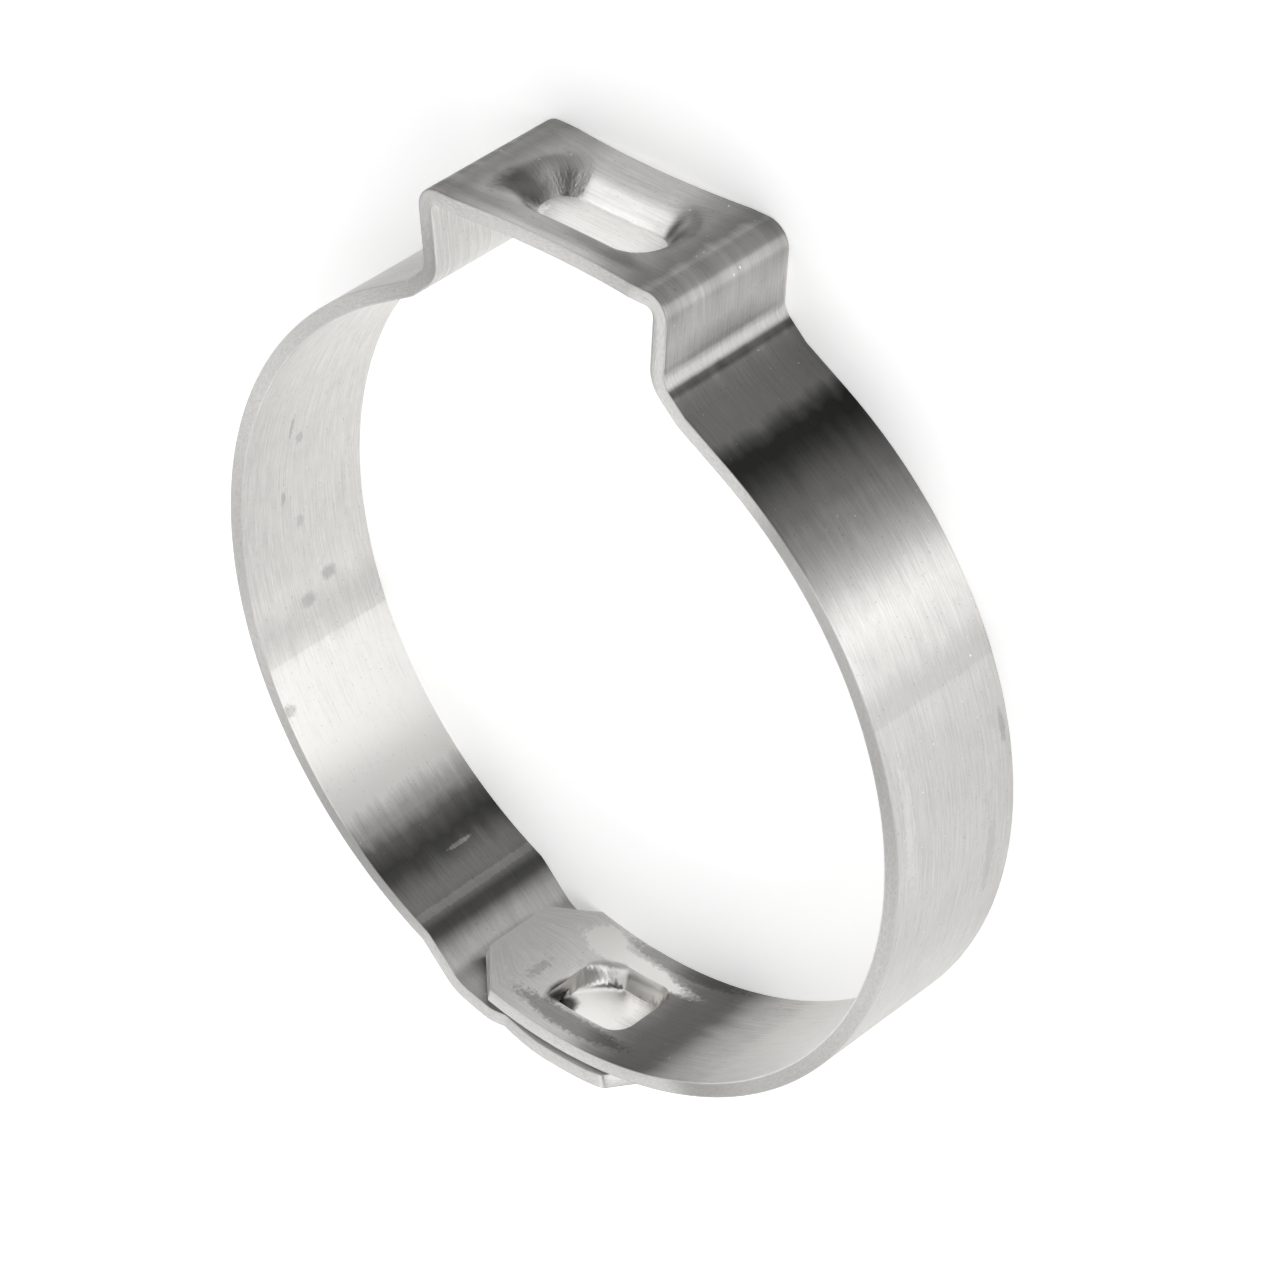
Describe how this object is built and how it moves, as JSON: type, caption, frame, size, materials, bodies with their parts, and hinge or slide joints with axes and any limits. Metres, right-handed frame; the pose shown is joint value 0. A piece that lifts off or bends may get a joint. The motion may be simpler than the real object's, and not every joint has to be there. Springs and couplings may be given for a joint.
{
  "type": "single-ear hose clamp",
  "caption": "Open one-ear clamp ring of stainless strip: dimpled ear to pinch shut, lapped ends held by a drawn hook, for closing a hose on a spigot.",
  "frame": {"origin": "on the bore axis, in the plane of the lower rim", "axes": "+Z along the bore axis, +Y towards the ear, +X to the right of the ear seen from +Z"},
  "size_m": [0.0362, 0.0407, 0.007],
  "materials": {
    "strip": "fine brushed along the strip, bright"
  },
  "bodies": {
    "root": {"clamp_band": "strip"}
  },
  "joints": []
}
